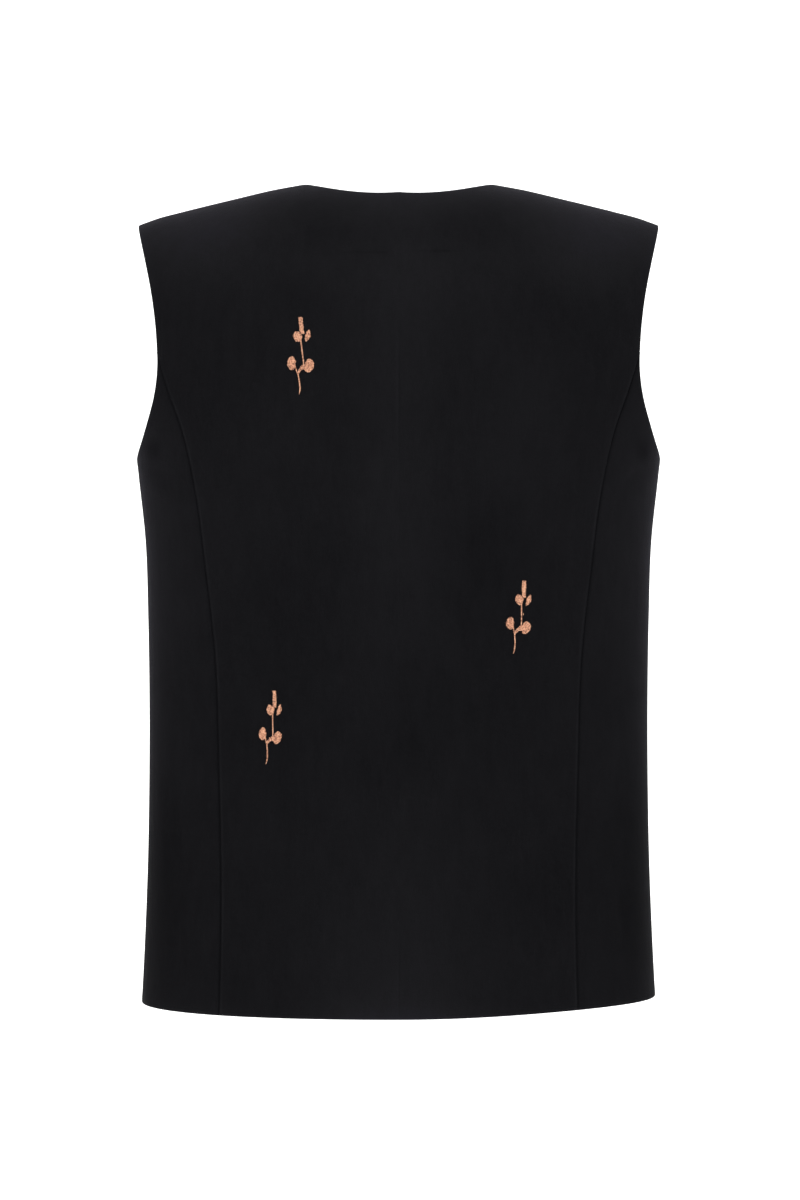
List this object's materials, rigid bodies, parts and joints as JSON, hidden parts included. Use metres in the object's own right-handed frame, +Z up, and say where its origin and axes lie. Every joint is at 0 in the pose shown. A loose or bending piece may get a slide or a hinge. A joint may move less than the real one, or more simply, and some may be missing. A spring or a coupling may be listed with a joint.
{
  "type": "embroidered vest",
  "caption": "Sleeveless vest in its worn form, empty, with curved back seams, a V front neck and embroidered sprigs on its back.",
  "frame": {"origin": "midway between the shoulders, at mid height of the shoulder seams, where the wearer's shoulders hold the vest", "axes": "+Z up, +Y out of the back, -Y out of the front, +X to the wearer's left"},
  "size_m": [0.3906, 0.2317, 0.6099],
  "materials": {
    "cloth": "matt black napped cloth with a faint violet grey sheen",
    "thread": "copper embroidery thread in satin stitch"
  },
  "bodies": {
    "root": {"back_left": "cloth", "back_right": "cloth", "side_left": "cloth", "side_right": "cloth", "front_left": "cloth", "front_right": "cloth", "sprig_upper": "thread", "sprig_upper_leaf": "thread", "sprig_right": "thread", "sprig_right_leaf": "thread", "sprig_lower": "thread", "sprig_lower_leaf": "thread"}
  },
  "joints": []
}
